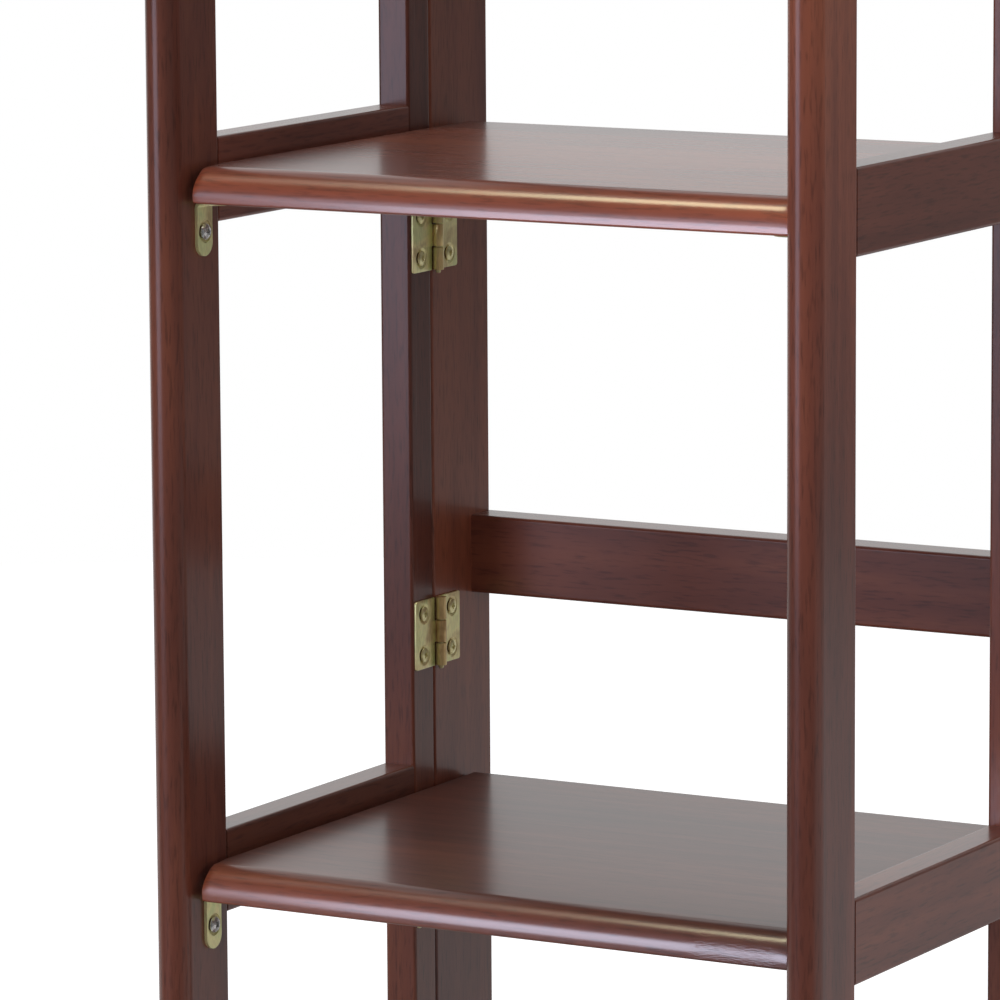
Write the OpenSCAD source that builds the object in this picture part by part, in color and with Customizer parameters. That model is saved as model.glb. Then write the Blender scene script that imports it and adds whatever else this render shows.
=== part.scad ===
// Folding bookstand rack: two ladder sides hinged to a back frame, and four
// shelves that flip up on pins at their rear edges. Millimetres, +Z up, front
// towards -Y, origin on the floor at the centre of the plan.

/* [Overall] */
// Clear width between the two sides
inner_width = 291; // [271:1:351]
// Depth from the round front of the stiles to the back of the rack
overall_depth = 273.5; // [263.5:0.5:293.5]
// Thickness of the boards that the sides and back stiles are cut from
board_t = 16; // [15:0.5:18]
// Radius that takes the sharpness off every long edge
edge_r = 1.5; // [0.5:0.25:2.5]

/* [Tiers] */
// Height of the top of the lowest side rail above the floor
first_rail_top = 130; // [100:5:160]
// Distance from one shelf to the next
tier_pitch = 305; // [300:1:330]
// Height of the stiles above the highest side rail
stile_above = 25; // [15:1:60]

/* [Sides] */
// Width of a front stile, front to back
front_stile_w = 38; // [34:1:44]
// Width of the left side's rear stile, front to back
rear_stile_w = 19.5; // [19:0.5:24]
// Height of a side rail
side_rail_h = 37; // [34:1:42]
// How far the right side's hinge line lies behind the left one, so that the sides fold over each other
right_set_back = 17; // [16.5:0.5:18]
// Gap between a side and its back stile
seam_gap = 0.4; // [0.2:0.1:0.8]

/* [Back frame] */
// Depth of the left back stile, front to back
left_back_stile_d = 53; // [52:0.5:56]
// Thickness of a back rail
back_rail_t = 18; // [16:0.5:18.5]
// Height of a back rail
back_rail_h = 36.7; // [32:0.1:42]
// Height of a back rail's top above the side rail below it
back_rail_rise = 109.5; // [105:0.5:130]

/* [Shelves] */
// Thickness of a shelf
shelf_t = 15.5; // [15:0.5:16]
// Radius of the shelf's nose above its foremost line
nose_top_r = 12; // [8:0.5:12]
// Radius of the shelf's nose below its foremost line
nose_foot_r = 1.25; // [1:0.25:3]
// Gap at the shelf's left end
left_end_gap = 5.4; // [5.4:0.1:6.5]
// Gap at the right end of the shelf's nose, which stands close to the stile
right_nose_gap = 0.7; // [0.7:0.1:4]
// Gap at the right end of the shelf's rear part, which passes the hinge barrels as it flips up
right_end_gap = 5.4; // [5.4:0.1:6.5]
// Distance of the shelf's nose behind the front of the stiles
nose_set_back = 7.5; // [5:0.5:12]
// Radius of the shelf's left front corner, seen from above
left_corner_r = 3; // [1:0.5:8]
// Radius of the shelf's right front corner, seen from above
right_corner_r = 1; // [1:0.5:8]
// Gap between a flipped-up shelf and the back rail
fold_gap = 0.65; // [0.5:0.05:1]
// Radius of the pin that a shelf turns on
pivot_r = 3; // [2.5:0.25:3.5]

/* [Hinges] */
// Height of a hinge
leaf_h = 32; // [28:1:36]
// Width of a leaf, from the pin's axis to its edge
leaf_w = 20; // [18:0.5:20]
// Thickness of a leaf
leaf_t = 1.2; // [1:0.1:1.4]
// Radius of the barrel
barrel_r = 2.6; // [2.3:0.1:2.6]
// Radius of the hinge pin
hinge_pin_r = 1.2; // [1:0.1:1.3]
// Distance of a hinge's middle below the top of the side rail
hinge_drop = 61; // [58:0.5:66]
// Height of the middle hinge above the side rail below it
middle_hinge_rise = 60; // [52:0.5:60]
// How much lower the right middle hinge sits, clear of the back rail
right_hinge_drop = 4; // [3.5:0.5:8]

/* [Shelf brackets] */
// Width of a bracket
bracket_w = 13; // [11:0.5:15]
// Thickness of a bracket
bracket_t = 1.5; // [1.2:0.1:2]
// Reach of the leg under the shelf
bracket_leg = 14.5; // [12:0.5:18]
// Length of the tab down the stile
bracket_tab = 24.2; // [21:0.1:28]
// Distance of the bracket's middle behind the front of the stile
bracket_set_back = 23.5; // [22:0.5:28]

/* [Screws and dowels] */
// Radius of a hinge screw's head
hinge_screw_head_r = 3.4; // [3:0.1:3.5]
// Height of a hinge screw's head above its leaf
hinge_screw_head_h = 0.9; // [0.6:0.1:1.2]
// Radius of a bracket screw's head
bracket_screw_head_r = 3.5; // [3:0.1:4]
// Height of a bracket screw's head
bracket_screw_head_h = 2; // [1.5:0.1:2.4]
// Radius of a screw's shank
shank_r = 1.5; // [1.25:0.05:1.7]
// Length of a screw below its head
shank_l = 13; // [10:0.5:14]
// Radius of a dowel
dowel_r = 3; // [2.5:0.25:4]
// Length of a dowel, half in each piece
dowel_l = 26; // [20:1:28]

/* [Hidden] */

$fn = 64;
wood = "#5f2f28";
brass = "#a39b63";
steel = "#b9bcbe";
nylon = "#3a2a25";
birch = "#c8a878";

left = -1;
right = 1;
tiers = 4;
big = 2 * overall_depth;

rail_tops = [for (i = [0 : tiers - 1]) first_rail_top + i * tier_pitch];
stile_h = rail_tops[tiers - 1] + stile_above;
half_w = inner_width / 2;
front_y = -overall_depth / 2;
back_y = overall_depth / 2;
left_seam_y = back_y - left_back_stile_d;
stile_back_y = front_y + front_stile_w;
rear_stile_y = left_seam_y - rear_stile_w;

// The barrel's outside lies level with the back of the leaves
axis_in = barrel_r;
axis_back = 1.8;
knuckle_h = leaf_h / 3;
knuckle_gap = 0.3;
running_gap = 0.05;
pin_tail = 1.5;
leaf_screw_y = 12.7;
leaf_screw_z = 9.6;
leaf_corner_r = 1.5;
screw_hole_gap = 0.2;
leaf_sink = leaf_t - 0.2;

shelf_r = shelf_t / 2;
shelf_front_y = front_y + nose_set_back;
pivot_y = back_y - back_rail_t - fold_gap - shelf_r;
shelf_drop = side_rail_h / 2;
nose_depth = 20;
// Distance from the pivot to the far end of the middle hinges, past which a shelf's ends can be wider
hinge_reach = 105;
pivot_in_wood = 12;
pivot_in_shelf = 20;
spacer_r = 6;
spacer_play = 0.1;

bracket_y = front_y + bracket_set_back;
bracket_rest_gap = 0.05;
bracket_top = -shelf_drop - shelf_r - bracket_rest_gap;
bracket_screw_drop = 13.5;
bracket_screw_sink = 0.8;

dowel_pitch = 20;
stile_top_r = 8;
stile_foot_r = 1.5;

// The gap that a pivot pin crosses between a side and the shelf
function end_gap(side) = side == left ? left_end_gap : right_end_gap;

// Where the two hinge lines run: a side's seam in depth, and its hinges' middles in height
function seam_y(side) = side == left ? left_seam_y : left_seam_y + right_set_back;
function hinge_heights(side) = [
    rail_tops[0] - hinge_drop,
    rail_tops[1] - hinge_drop,
    rail_tops[1] + middle_hinge_rise - (side == right ? right_hinge_drop : 0),
    rail_tops[2] - hinge_drop,
    rail_tops[3] - hinge_drop
];

// A flat shape with its own radius at each corner, in order from the low left one anticlockwise.
// A radius of 0 leaves a corner square.
module rounded_plate(w, h, radii) {
    x_side = [0, w, w, 0];
    y_side = [0, 0, h, h];
    x_way = [1, -1, -1, 1];
    y_way = [1, 1, -1, -1];
    difference() {
        square([w, h]);
        for (i = [0 : 3])
            if (radii[i] > 0)
                translate([x_side[i], y_side[i]])
                    corner_waste(radii[i], x_way[i], y_way[i]);
    }
}

// What a rounded corner leaves out of a square one
module corner_waste(r, x_way, y_way) {
    over = 1;
    difference() {
        translate([x_way < 0 ? -r : -over, y_way < 0 ? -r : -over])
            square(r + over);
        translate([x_way * r, y_way * r])
            circle(r);
    }
}

// Turns a flat shape drawn in depth and height into a board along X, centred on x = 0
module along_x(length) {
    rotate([90, 0, 90])
        translate([0, 0, -length / 2])
            linear_extrude(length)
                children();
}

// A hole or peg whose axis runs along X, starting at x and going the way of `way`
module x_rod(x, y, z, r, length, way) {
    translate([x, y, z])
        rotate([0, way * 90, 0])
            cylinder(r = r, h = length);
}

// An upright: its plan is given from y0 to y1 and its ends are rounded
module upright(side, y0, y1, front_r) {
    intersection() {
        translate([side == left ? -half_w - board_t : half_w, y0, 0])
            linear_extrude(stile_h)
                rounded_plate(board_t, y1 - y0, [front_r, front_r, edge_r, edge_r]);
        along_x(inner_width + 3 * board_t)
            translate([y0, 0])
                rounded_plate(y1 - y0, stile_h, [stile_foot_r, stile_foot_r, stile_foot_r, stile_foot_r]);
    }
}

// Pilot holes for the screws of one leaf of each hinge.
// way is -1 for the side's leaf, towards the front, and 1 for the back frame's.
module leaf_pilot_holes(side, way) {
    for (z = hinge_heights(side))
        leaf_screw_places(side, way, z)
            x_rod(0, 0, 0, shank_r, shank_l + 1, side);
}

// Puts its child at each screw of a leaf, on the leaf's face
module leaf_screw_places(side, way, z) {
    for (dz = [-leaf_screw_z, leaf_screw_z])
        translate([side * (half_w - leaf_t), seam_y(side) + axis_back + way * leaf_screw_y, z + dz])
            children();
}

module dowel_holes_y(side, y) {
    for (top = rail_tops, dz = [-dowel_pitch / 2, dowel_pitch / 2])
        translate([side * (half_w + board_t / 2), y - dowel_l / 2, top - side_rail_h / 2 + dz])
            rotate([-90, 0, 0])
                cylinder(r = dowel_r, h = dowel_l);
}

module front_stile(side) {
    color(wood)
        difference() {
            upright(side, front_y, stile_back_y, board_t / 2);
            dowel_holes_y(side, stile_back_y);
            for (top = rail_tops)
                x_rod(side * (half_w - 1), bracket_y, top + bracket_top - bracket_screw_drop,
                      shank_r, shank_l + 1 - bracket_t, side);
        }
}

module rear_stile(side) {
    color(wood)
        difference() {
            upright(side, rear_stile_y, seam_y(side) - seam_gap, edge_r);
            dowel_holes_y(side, rear_stile_y);
            leaf_pilot_holes(side, -1);
        }
}

module side_rail(side, i) {
    color(wood)
        difference() {
            translate([side * (half_w + board_t / 2), rear_stile_y, rail_tops[i] - side_rail_h])
                rotate([90, 0, 0])
                    translate([-board_t / 2, 0, 0])
                        linear_extrude(rear_stile_y - stile_back_y)
                            rounded_plate(board_t, side_rail_h, [edge_r, edge_r, edge_r, edge_r]);
            dowel_holes_y(side, stile_back_y);
            dowel_holes_y(side, rear_stile_y);
        }
}

module side_dowels(side) {
    color(birch) {
        dowel_holes_y(side, stile_back_y);
        dowel_holes_y(side, rear_stile_y);
    }
}

module back_stile(side) {
    color(wood)
        difference() {
            upright(side, seam_y(side), back_y, edge_r);
            leaf_pilot_holes(side, 1);
            back_dowel_rods(side);
            for (top = rail_tops)
                x_rod(side * half_w, pivot_y, top - shelf_drop, pivot_r, pivot_in_wood, side);
        }
}

// The dowels that join the back rails to one back stile
module back_dowel_rods(side) {
    for (i = [0 : tiers - 2], dz = [-dowel_pitch / 2, dowel_pitch / 2])
        x_rod(side * (half_w + dowel_l / 2), back_y - back_rail_t / 2,
              rail_tops[i] + back_rail_rise - back_rail_h / 2 + dz, dowel_r, dowel_l, -side);
}

module back_dowels() {
    color(birch) {
        back_dowel_rods(left);
        back_dowel_rods(right);
    }
}

module back_rail(i) {
    color(wood)
        difference() {
            along_x(inner_width)
                translate([back_y - back_rail_t, rail_tops[i] + back_rail_rise - back_rail_h])
                    rounded_plate(back_rail_t, back_rail_h, [edge_r, edge_r, edge_r, edge_r]);
            back_dowel_rods(left);
            back_dowel_rods(right);
        }
}

// A hinge leaf with its knuckles, drawn for the left side with the pin on the Z axis and the leaf
// towards +Y. slots lists its knuckles, 0 lowest.
module leaf(slots, bore_r) {
    difference() {
        union() {
            translate([-barrel_r, barrel_r + knuckle_gap, -leaf_h / 2])
                rotate([90, 0, 90])
                    linear_extrude(leaf_t)
                        rounded_plate(leaf_w - barrel_r - knuckle_gap, leaf_h,
                                      [0, leaf_corner_r, leaf_corner_r, 0]);
            for (k = slots)
                translate([0, 0, -leaf_h / 2 + k * knuckle_h]) {
                    z0 = k == 0 ? 0 : knuckle_gap / 2;
                    z1 = knuckle_h - (k == 2 ? 0 : knuckle_gap / 2);
                    translate([0, 0, z0])
                        cylinder(r = barrel_r, h = z1 - z0);
                    translate([-barrel_r, 0, z0])
                        cube([leaf_t, barrel_r + knuckle_gap + 1, z1 - z0]);
                }
        }
        translate([0, 0, -leaf_h])
            cylinder(r = bore_r, h = 2 * leaf_h);
        for (dz = [-leaf_screw_z, leaf_screw_z])
            translate([leaf_t - barrel_r, leaf_screw_y, dz])
                sunk_hole(hinge_screw_head_r, leaf_sink, leaf_t);
    }
}

// A screw hole through a plate whose face is the plane x = 0, widened to seat the screw's head
module sunk_hole(head_r, sink, plate_t) {
    hole_r = shank_r + screw_hole_gap;
    x_rod(-plate_t - 1, 0, 0, hole_r, plate_t + 2, 1);
    rotate([0, -90, 0])
        cylinder(r1 = head_r, r2 = hole_r, h = sink);
}

// Sets a left-hand drawing on the pin's axis of each of a side's hinges
module at_hinges(side, way) {
    for (z = hinge_heights(side))
        translate([side * (half_w - axis_in), seam_y(side) + axis_back, z])
            mirror([side == left ? 0 : 1, 0, 0])
                mirror([0, way < 0 ? 1 : 0, 0])
                    children();
}

module side_leaves(side) {
    color(brass)
        at_hinges(side, -1)
            leaf([1], hinge_pin_r + running_gap);
}

module back_leaves(side) {
    color(brass)
        at_hinges(side, 1)
            leaf([0, 2], hinge_pin_r);
}

module hinge_pins(side) {
    color(brass)
        at_hinges(side, 1)
            translate([0, 0, -leaf_h / 2 - pin_tail]) {
                cylinder(r1 = hinge_pin_r - 0.4, r2 = hinge_pin_r, h = 0.4);
                translate([0, 0, 0.4])
                    cylinder(r = hinge_pin_r, h = leaf_h + pin_tail - 0.4);
            }
}

// A cross-headed screw along X whose domed head stands on the plane x = 0 and points towards -X.
// Below the plane the head tapers to the shank over the depth sink.
module screw(head_r, head_h, sink, length) {
    dome_r = (head_r * head_r + head_h * head_h) / (2 * head_h);
    slot_w = head_r * 0.28;
    slot_l = head_r * 1.15;
    difference() {
        union() {
            intersection() {
                translate([dome_r - head_h, 0, 0])
                    sphere(r = dome_r);
                x_rod(-head_h, 0, 0, head_r - 0.05, head_h, 1);
            }
            rotate([0, 90, 0])
                cylinder(r1 = head_r - 0.05, r2 = shank_r, h = sink);
            x_rod(-head_h / 4, 0, 0, shank_r, length + head_h / 4, 1);
        }
        for (turn = [0, 90])
            rotate([turn, 0, 0])
                translate([-head_h - 1, -slot_l / 2, -slot_w / 2])
                    cube([head_h * 0.7 + 1, slot_l, slot_w]);
    }
}

module leaf_screws(side, way) {
    color(brass)
        for (z = hinge_heights(side))
            leaf_screw_places(side, way, z)
                mirror([side == left ? 1 : 0, 0, 0])
                    screw(hinge_screw_head_r, hinge_screw_head_h, leaf_sink, shank_l);
}

module pivot_pins(side) {
    color(steel)
        for (top = rail_tops)
            x_rod(side * (half_w + pivot_in_wood), pivot_y, top - shelf_drop, pivot_r,
                  pivot_in_wood + end_gap(side) + pivot_in_shelf, -side);
}

module pivot_spacers(side) {
    color(nylon)
        for (top = rail_tops)
            difference() {
                x_rod(side * half_w, pivot_y, top - shelf_drop, spacer_r, end_gap(side) - spacer_play, -side);
                x_rod(side * (half_w + 1), pivot_y, top - shelf_drop, pivot_r, end_gap(side) + 2, -side);
            }
}

// An angle bracket: a round-ended tab down the stile and a round-ended leg under the shelf
module bracket(side, i) {
    end_r = bracket_w / 2;
    color(brass)
        translate([side * half_w, bracket_y, rail_tops[i] + bracket_top])
            mirror([side == left ? 0 : 1, 0, 0])
                difference() {
                    union() {
                        intersection() {
                            rotate([90, 0, 0])
                                translate([0, -bracket_tab, -end_r])
                                    linear_extrude(bracket_w)
                                        bracket_profile();
                            union() {
                                rotate([90, 0, 90])
                                    linear_extrude(bracket_t + 1)
                                        tongue(bracket_tab, end_r);
                                translate([0, 0, -bracket_t - 1])
                                    linear_extrude(bracket_t + 2)
                                        rotate(90)
                                            tongue(bracket_leg, end_r);
                            }
                        }
                    }
                    translate([bracket_t, 0, -bracket_screw_drop])
                        sunk_hole(bracket_screw_head_r, bracket_screw_sink, bracket_t);
                }
}

// The bent strip seen from the front, with its foot at the origin
module bracket_profile() {
    difference() {
        rounded_plate(bracket_leg, bracket_tab, [0, 0, 0, bracket_t]);
        translate([bracket_t, -1])
            rounded_plate(bracket_leg, bracket_tab - bracket_t + 1, [0, 0, 0, bracket_t / 2]);
    }
}

// A strip hanging down from the origin with a round lower end
module tongue(length, r) {
    translate([-r, -length + r])
        square([2 * r, length - r + 1]);
    translate([0, -length + r])
        circle(r);
}

module bracket_screws(side) {
    color(steel)
        for (top = rail_tops)
            translate([side * (half_w - bracket_t), bracket_y, top + bracket_top - bracket_screw_drop])
                mirror([side == left ? 1 : 0, 0, 0])
                    screw(bracket_screw_head_r, bracket_screw_head_h, bracket_screw_sink, shank_l);
}

// A shelf is one board with a rounded nose and a full round rear edge, centred on its pivot pins
module shelf(i) {
    z = rail_tops[i] - shelf_drop;
    color(wood)
        difference() {
            intersection() {
                along_x(inner_width)
                    translate([0, z])
                        shelf_section();
                translate([0, 0, z - shelf_t])
                    linear_extrude(2 * shelf_t)
                        shelf_plan();
            }
            for (side = [left, right])
                x_rod(side * half_w, pivot_y, z, pivot_r + running_gap,
                      end_gap(side) + pivot_in_shelf + 1, -side);
        }
}

// The shelf's section in depth and height
module shelf_section() {
    translate([shelf_front_y, -shelf_r])
        rounded_plate(pivot_y - shelf_front_y, shelf_t, [nose_foot_r, 0, 0, nose_top_r]);
    translate([pivot_y, 0])
        circle(shelf_r);
}

// The shelf from above: its left end is straight, and its right end tapers behind the nose
module shelf_plan() {
    left_x = -half_w + left_end_gap;
    nose_x = half_w - right_nose_gap;
    rear_x = half_w - right_end_gap;
    y0 = shelf_front_y;
    y1 = y0 + nose_depth;
    y2 = pivot_y - hinge_reach;
    y3 = pivot_y + shelf_r + 1;
    difference() {
        polygon([[left_x, y0], [nose_x, y0], [nose_x, y1], [rear_x, y2], [rear_x, y3], [left_x, y3]]);
        translate([left_x, y0])
            corner_waste(left_corner_r, 1, 1);
        translate([nose_x, y0])
            corner_waste(right_corner_r, -1, 1);
    }
}

back_stile(left);  // left_back_stile
back_stile(right);  // right_back_stile
back_rail(0);  // lower_back_rail
back_rail(1);  // middle_back_rail
back_rail(2);  // upper_back_rail
back_dowels();
back_leaves(left);  // left_back_leaves
back_leaves(right);  // right_back_leaves
hinge_pins(left);  // left_hinge_pins
hinge_pins(right);  // right_hinge_pins
leaf_screws(left, 1);  // left_back_leaf_screws
leaf_screws(right, 1);  // right_back_leaf_screws
pivot_pins(left);  // left_pivot_pins
pivot_pins(right);  // right_pivot_pins
pivot_spacers(left);  // left_pivot_spacers
pivot_spacers(right);  // right_pivot_spacers
front_stile(left);  // left_front_stile
rear_stile(left);  // left_rear_stile
side_rail(left, 0);  // left_rail_1
side_rail(left, 1);  // left_rail_2
side_rail(left, 2);  // left_rail_3
side_rail(left, 3);  // left_rail_4
side_dowels(left);  // left_side_dowels
side_leaves(left);  // left_side_leaves
leaf_screws(left, -1);  // left_side_leaf_screws
bracket(left, 0);  // left_bracket_1
bracket(left, 1);  // left_bracket_2
bracket(left, 2);  // left_bracket_3
bracket(left, 3);  // left_bracket_4
bracket_screws(left);  // left_bracket_screws
front_stile(right);  // right_front_stile
rear_stile(right);  // right_rear_stile
side_rail(right, 0);  // right_rail_1
side_rail(right, 1);  // right_rail_2
side_rail(right, 2);  // right_rail_3
side_rail(right, 3);  // right_rail_4
side_dowels(right);  // right_side_dowels
side_leaves(right);  // right_side_leaves
leaf_screws(right, -1);  // right_side_leaf_screws
bracket(right, 0);  // right_bracket_1
bracket(right, 1);  // right_bracket_2
bracket(right, 2);  // right_bracket_3
bracket(right, 3);  // right_bracket_4
bracket_screws(right);  // right_bracket_screws
shelf(0);  // shelf_1
shelf(1);  // shelf_2
shelf(2);  // shelf_3
shelf(3);  // shelf_4
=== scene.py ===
import math
import bmesh
import bpy
from mathutils import Matrix, Vector


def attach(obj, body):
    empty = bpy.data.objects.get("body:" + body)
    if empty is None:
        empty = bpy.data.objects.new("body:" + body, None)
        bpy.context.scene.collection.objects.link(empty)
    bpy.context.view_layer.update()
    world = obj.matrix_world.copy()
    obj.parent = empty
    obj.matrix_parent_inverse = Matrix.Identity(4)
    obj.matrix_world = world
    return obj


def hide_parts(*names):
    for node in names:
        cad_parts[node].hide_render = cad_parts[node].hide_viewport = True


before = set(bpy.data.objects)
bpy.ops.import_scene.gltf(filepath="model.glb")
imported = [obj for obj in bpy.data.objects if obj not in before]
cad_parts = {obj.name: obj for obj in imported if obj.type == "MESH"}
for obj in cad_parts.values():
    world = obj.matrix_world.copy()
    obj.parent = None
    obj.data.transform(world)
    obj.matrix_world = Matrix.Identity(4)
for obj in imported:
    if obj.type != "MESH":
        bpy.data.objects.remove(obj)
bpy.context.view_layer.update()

# the camera stands to the front right, a little above the upper of the two shelves that it frames
camera = {
    "place": (1.29692, -2.40729, 0.99886),
    "yaw": -29.46,
    "pitch": -8.747,
    "roll": -0.349,
    "lens": 227.5,
    "sensor": 36.0,
    "seesFrom": 0.05,
    "seesTo": 200,
}

# the first three light the wood, and the last three are what its lacquer mirrors. Each hangs at place,
# faces aim, and has its second side along a given way. One with "only" shows just in those shelf boards.
lamps = {
    "key": {"place": (-2.0, -3.7, 2.7), "aim": (0, 0, 0.65), "along": (0, 0, 1), "size": (2.0, 2.0),
            "power": 92, "colour": (1.0, 0.965, 0.94), "mirrored": False, "lights": True},
    "fill": {"place": (3.8, -1.6, 1.5), "aim": (0, 0, 0.6), "along": (0, 0, 1), "size": (2.0, 2.0),
             "power": 30, "colour": (1.0, 0.98, 0.97), "mirrored": False, "lights": True},
    "window": {"place": (-1.62, -2.9, 0.55), "aim": (0, -0.1, 0.55), "along": (0, 0, 1),
               "size": (1.7, 0.8), "power": 11.5, "colour": (0.70, 0.77, 1.0), "mirrored": True,
               "lights": True},
    "warmLamp": {"place": (-0.34, -0.47, 1.62), "aim": (0.14, -0.13, 0.72),
                 "along": (0, 0.94, 0.34), "size": (0.34, 0.27), "power": 4.3,
                 "colour": (1.0, 0.94, 0.60), "mirrored": True, "lights": False},
    "whiteCard": {"place": (-0.21, -0.83, 0.375), "aim": (-0.12, 0, 0.375), "along": (0, 0, 1),
                  "size": (0.54, 0.44), "power": 9.2, "colour": (0.74, 0.79, 1.0), "mirrored": True,
                  "lights": False, "only": (1, 2, 3, 4)},
}

# what lies round the rack: a white backdrop behind it on the left, and a dim room elsewhere
studio = {
    "floorReach": 3.4,
    "floorSides": 96,
    "floorLevel": -0.0005,
    "floorColour": (0.80, 0.80, 0.80, 1),
    "floorGlow": 0.72,
    "floorMirrored": (-0.9, -0.1, 0.10, 1.0),
    "ambient": 0.45,
    "ambientColour": (0.98, 0.98, 1.0, 1),
    "seenWhite": 1.0,
    "backdropWay": (-0.49, 0.86, 0.12),
    "backdropEdge": (0.55, 0.86, 0.08, 0.76),
    "ceilingEdge": (0.70, 0.86, 0.0, 1.2),
}


def makeCamera():
    data = bpy.data.cameras.new("camera")
    data.lens = camera["lens"]
    data.sensor_width = camera["sensor"]
    data.clip_start = camera["seesFrom"]
    data.clip_end = camera["seesTo"]
    yaw, pitch, roll = (math.radians(camera[k]) for k in ("yaw", "pitch", "roll"))
    ahead = Vector((math.sin(yaw) * math.cos(pitch), math.cos(yaw) * math.cos(pitch), math.sin(pitch)))
    level = Vector((math.cos(yaw), -math.sin(yaw), 0))
    up = level.cross(ahead)
    side = level * math.cos(roll) + up * math.sin(roll)
    top = up * math.cos(roll) - level * math.sin(roll)
    turn = Matrix((side, top, -ahead)).transposed().to_4x4()
    body = bpy.data.objects.new("camera", data)
    bpy.context.scene.collection.objects.link(body)
    body.matrix_world = Matrix.Translation(camera["place"]) @ turn
    bpy.context.scene.camera = body
    bpy.context.scene.view_settings.view_transform = "Standard"
    print("camera placed")


def makeLamps():
    for name, lamp in lamps.items():
        data = bpy.data.lights.new(name, "AREA")
        data.shape = "RECTANGLE"
        data.size = lamp["size"][0]
        data.size_y = lamp["size"][1]
        data.energy = lamp["power"]
        data.color = lamp["colour"]
        body = bpy.data.objects.new(name, data)
        body.visible_glossy = lamp["mirrored"]
        body.visible_diffuse = lamp["lights"]
        body.visible_camera = False
        bpy.context.scene.collection.objects.link(body)
        back = (Vector(lamp["place"]) - Vector(lamp["aim"])).normalized()
        across = Vector(lamp["along"]).cross(back).normalized()
        turn = Matrix((across, back.cross(across), back)).transposed().to_4x4()
        body.matrix_world = Matrix.Translation(lamp["place"]) @ turn
    print("lamps hung")


def keepToBoards(boards):
    for name, lamp in lamps.items():
        if "only" not in lamp:
            continue
        group = bpy.data.collections.new(name + "_boards")
        for number in lamp["only"]:
            group.objects.link(boards[number])
        bpy.data.objects[name].light_linking.receiver_collection = group


def makeNode(tree, kind, **values):
    made = tree.nodes.new(kind)
    for key, value in values.items():
        if key in made.inputs:
            made.inputs[key].default_value = value
        else:
            setattr(made, key, value)
    return made


def makeWorld():
    world = bpy.data.worlds.new("studio")
    bpy.context.scene.world = world
    world.use_nodes = True
    tree = world.node_tree
    tree.nodes.clear()
    wire = tree.links.new
    out = makeNode(tree, "ShaderNodeOutputWorld")
    rays = makeNode(tree, "ShaderNodeLightPath")
    soft = makeNode(tree, "ShaderNodeBackground", Color=studio["ambientColour"], Strength=studio["ambient"])
    seen = makeNode(tree, "ShaderNodeBackground", Color=(1, 1, 1, 1), Strength=studio["seenWhite"])
    mirrored = makeNode(tree, "ShaderNodeBackground", Color=(1, 1, 1, 1))
    way = makeNode(tree, "ShaderNodeTexCoord")
    facing = makeNode(tree, "ShaderNodeVectorMath", operation="DOT_PRODUCT")
    facing.inputs[1].default_value = Vector(studio["backdropWay"]).normalized()
    wire(way.outputs["Generated"], facing.inputs[0])
    backdrop = spreadOf(tree, facing.outputs["Value"], *studio["backdropEdge"], "SMOOTHSTEP")
    ceiling = spreadOf(tree, partOf(tree, way.outputs["Generated"], "Z"), *studio["ceilingEdge"])
    wire(mathOf(tree, "MAXIMUM", backdrop, ceiling), mirrored.inputs["Strength"])
    shiny = mathOf(tree, "MAXIMUM", rays.outputs["Is Glossy Ray"], rays.outputs["Is Transmission Ray"])
    first = makeNode(tree, "ShaderNodeMixShader")
    wire(shiny, first.inputs[0])
    wire(soft.outputs[0], first.inputs[1])
    wire(mirrored.outputs[0], first.inputs[2])
    last = makeNode(tree, "ShaderNodeMixShader")
    wire(rays.outputs["Is Camera Ray"], last.inputs[0])
    wire(first.outputs[0], last.inputs[1])
    wire(seen.outputs[0], last.inputs[2])
    wire(last.outputs[0], out.inputs["Surface"])
    print("world lit")


def deselect():
    bpy.ops.object.select_all(action="DESELECT")


def makeFloor():
    deselect()
    bpy.ops.mesh.primitive_circle_add(vertices=studio["floorSides"], radius=studio["floorReach"],
                                      fill_type="NGON", location=(0, 0, studio["floorLevel"]))
    floor = bpy.context.object
    floor.name = "studio_floor"
    material = bpy.data.materials.new("pale_floor")
    material.use_nodes = True
    tree = material.node_tree
    tree.nodes.clear()
    wire = tree.links.new
    out = makeNode(tree, "ShaderNodeOutputMaterial")
    plain = makeNode(tree, "ShaderNodeBsdfDiffuse", Color=studio["floorColour"])
    glow = makeNode(tree, "ShaderNodeEmission", Strength=studio["floorGlow"])
    both = makeNode(tree, "ShaderNodeAddShader")
    rays = makeNode(tree, "ShaderNodeLightPath")
    pick = makeNode(tree, "ShaderNodeMixShader")
    # in the lacquer the floor shows pale behind the rack and dim before it
    level = spreadOf(tree, partOf(tree, placeOn(tree), "Y"), *studio["floorMirrored"])
    dimmed = makeNode(tree, "ShaderNodeVectorMath", operation="SCALE")
    dimmed.inputs[0].default_value = studio["floorColour"][:3]
    wire(level, dimmed.inputs["Scale"])
    mirrored = makeNode(tree, "ShaderNodeBsdfDiffuse")
    wire(dimmed.outputs[0], mirrored.inputs["Color"])
    shiny = makeNode(tree, "ShaderNodeMixShader")
    wire(rays.outputs["Is Glossy Ray"], shiny.inputs[0])
    wire(plain.outputs[0], shiny.inputs[1])
    wire(mirrored.outputs[0], shiny.inputs[2])
    wire(plain.outputs[0], both.inputs[0])
    wire(glow.outputs[0], both.inputs[1])
    wire(rays.outputs["Is Camera Ray"], pick.inputs[0])
    wire(shiny.outputs[0], pick.inputs[1])
    wire(both.outputs[0], pick.inputs[2])
    wire(pick.outputs[0], out.inputs["Surface"])
    floor.data.materials.append(material)
    print("floor laid")


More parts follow.
